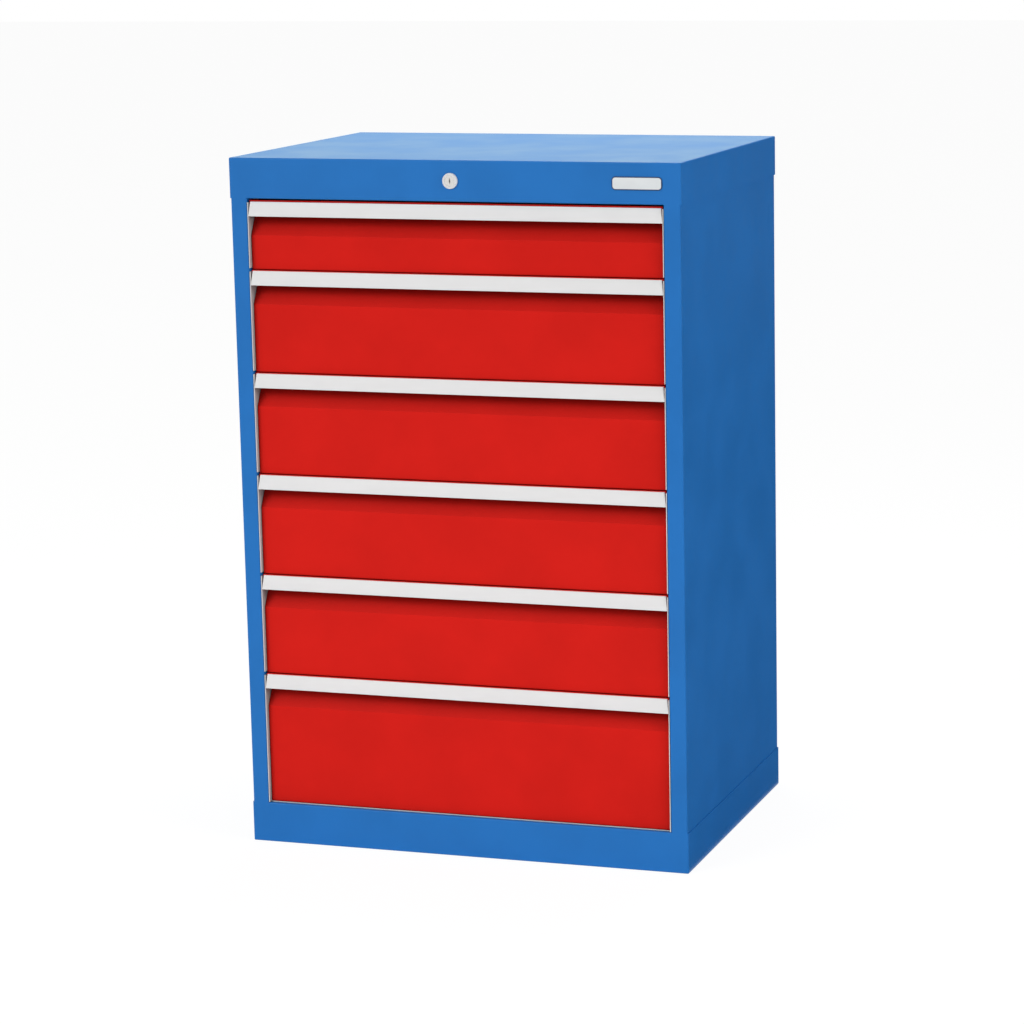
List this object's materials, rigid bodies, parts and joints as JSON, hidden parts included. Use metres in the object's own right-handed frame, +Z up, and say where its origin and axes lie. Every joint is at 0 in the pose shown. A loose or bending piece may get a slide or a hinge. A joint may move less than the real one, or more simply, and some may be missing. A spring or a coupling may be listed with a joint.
{
  "type": "drawer cabinet",
  "caption": "Floor-standing steel workshop cabinet with full-width drawers on telescopic roller runners, grip strips over finger recesses and a central lock.",
  "frame": {"origin": "centre of the footprint, on the floor, at the underside of the base pan", "axes": "+Z up, the drawers open towards -Y, +X to the right seen from the front"},
  "size_m": [0.68, 0.503, 1.02],
  "materials": {
    "carcass_blue": "smooth semi-gloss powder coat",
    "front_red": "smooth semi-gloss powder coat",
    "tray_grey": "light grey powder coat",
    "grip_grey": "satin light grey",
    "badge_grey": "satin light grey, bare",
    "zinc_steel": "zinc plated",
    "lock_ivory": "ivory plastic rosette and barrel",
    "lock_metal": "nickel plated"
  },
  "bodies": {
    "root": {"top_cover": "carcass_blue", "base_pan": "carcass_blue", "right_side_panel": "carcass_blue", "left_side_panel": "carcass_blue", "back_panel": "carcass_blue", "right_uprights": "zinc_steel", "left_uprights": "zinc_steel", "badge_plate": "badge_grey", "lock_barrel": "lock_ivory", "lock_nut": "lock_metal", "spindle_bracket": "carcass_blue", "lock_bar_guides": "zinc_steel", "drawer_1_cabinet_rails": "zinc_steel", "drawer_2_cabinet_rails": "zinc_steel", "drawer_3_cabinet_rails": "zinc_steel", "drawer_4_cabinet_rails": "zinc_steel", "drawer_5_cabinet_rails": "zinc_steel", "drawer_6_cabinet_rails": "zinc_steel"},
    "drawer_1": {"drawer_1_tray": "tray_grey", "drawer_1_catch": "tray_grey", "drawer_1_front": "front_red", "drawer_1_grip": "grip_grey", "drawer_1_tray_rails": "zinc_steel"},
    "drawer_2": {"drawer_2_tray": "tray_grey", "drawer_2_catch": "tray_grey", "drawer_2_front": "front_red", "drawer_2_grip": "grip_grey", "drawer_2_tray_rails": "zinc_steel"},
    "drawer_3": {"drawer_3_tray": "tray_grey", "drawer_3_catch": "tray_grey", "drawer_3_front": "front_red", "drawer_3_grip": "grip_grey", "drawer_3_tray_rails": "zinc_steel"},
    "drawer_4": {"drawer_4_tray": "tray_grey", "drawer_4_catch": "tray_grey", "drawer_4_front": "front_red", "drawer_4_grip": "grip_grey", "drawer_4_tray_rails": "zinc_steel"},
    "drawer_5": {"drawer_5_tray": "tray_grey", "drawer_5_catch": "tray_grey", "drawer_5_front": "front_red", "drawer_5_grip": "grip_grey", "drawer_5_tray_rails": "zinc_steel"},
    "drawer_6": {"drawer_6_tray": "tray_grey", "drawer_6_catch": "tray_grey", "drawer_6_front": "front_red", "drawer_6_grip": "grip_grey", "drawer_6_tray_rails": "zinc_steel"},
    "runner_1": {"drawer_1_carriers": "zinc_steel"},
    "runner_2": {"drawer_2_carriers": "zinc_steel"},
    "runner_3": {"drawer_3_carriers": "zinc_steel"},
    "runner_4": {"drawer_4_carriers": "zinc_steel"},
    "runner_5": {"drawer_5_carriers": "zinc_steel"},
    "runner_6": {"drawer_6_carriers": "zinc_steel"},
    "lock": {"lock_cylinder": "lock_metal", "lock_spindle": "zinc_steel"},
    "locking_bar": {"lock_bar": "zinc_steel", "lock_bar_hooks": "zinc_steel"}
  },
  "joints": [
    {"name": "drawer_1_slide", "type": "slide", "parent": "root", "child": "drawer_1", "axis": [0, -1, 0], "range_m": [0, 0.4]},
    {"name": "drawer_2_slide", "type": "slide", "parent": "root", "child": "drawer_2", "axis": [0, -1, 0], "range_m": [0, 0.4]},
    {"name": "drawer_3_slide", "type": "slide", "parent": "root", "child": "drawer_3", "axis": [0, -1, 0], "range_m": [0, 0.4]},
    {"name": "drawer_4_slide", "type": "slide", "parent": "root", "child": "drawer_4", "axis": [0, -1, 0], "range_m": [0, 0.4]},
    {"name": "drawer_5_slide", "type": "slide", "parent": "root", "child": "drawer_5", "axis": [0, -1, 0], "range_m": [0, 0.4]},
    {"name": "drawer_6_slide", "type": "slide", "parent": "root", "child": "drawer_6", "axis": [0, -1, 0], "range_m": [0, 0.4]},
    {"name": "runner_1_slide", "type": "slide", "parent": "root", "child": "runner_1", "axis": [0, -1, 0], "range_m": [0, 0.2]},
    {"name": "runner_2_slide", "type": "slide", "parent": "root", "child": "runner_2", "axis": [0, -1, 0], "range_m": [0, 0.2]},
    {"name": "runner_3_slide", "type": "slide", "parent": "root", "child": "runner_3", "axis": [0, -1, 0], "range_m": [0, 0.2]},
    {"name": "runner_4_slide", "type": "slide", "parent": "root", "child": "runner_4", "axis": [0, -1, 0], "range_m": [0, 0.2]},
    {"name": "runner_5_slide", "type": "slide", "parent": "root", "child": "runner_5", "axis": [0, -1, 0], "range_m": [0, 0.2]},
    {"name": "runner_6_slide", "type": "slide", "parent": "root", "child": "runner_6", "axis": [0, -1, 0], "range_m": [0, 0.2]},
    {"name": "lock_turn", "type": "hinge", "parent": "root", "child": "lock", "pos_m": [0, -0.25, 0.99075], "axis": [0, -1, 0], "range_deg": [0, 90]},
    {"name": "lock_bar_lift", "type": "slide", "parent": "root", "child": "locking_bar", "axis": [0, 0, 1], "range_m": [0, 0.01414]}
  ],
  "couplings": [
    {"joint": "runner_1_slide", "follows": "drawer_1_slide", "ratio": 0.5},
    {"joint": "runner_2_slide", "follows": "drawer_2_slide", "ratio": 0.5},
    {"joint": "runner_3_slide", "follows": "drawer_3_slide", "ratio": 0.5},
    {"joint": "runner_4_slide", "follows": "drawer_4_slide", "ratio": 0.5},
    {"joint": "runner_5_slide", "follows": "drawer_5_slide", "ratio": 0.5},
    {"joint": "runner_6_slide", "follows": "drawer_6_slide", "ratio": 0.5},
    {"joint": "lock_turn", "follows": "lock_bar_lift", "rad_per_m": 111.08}
  ]
}
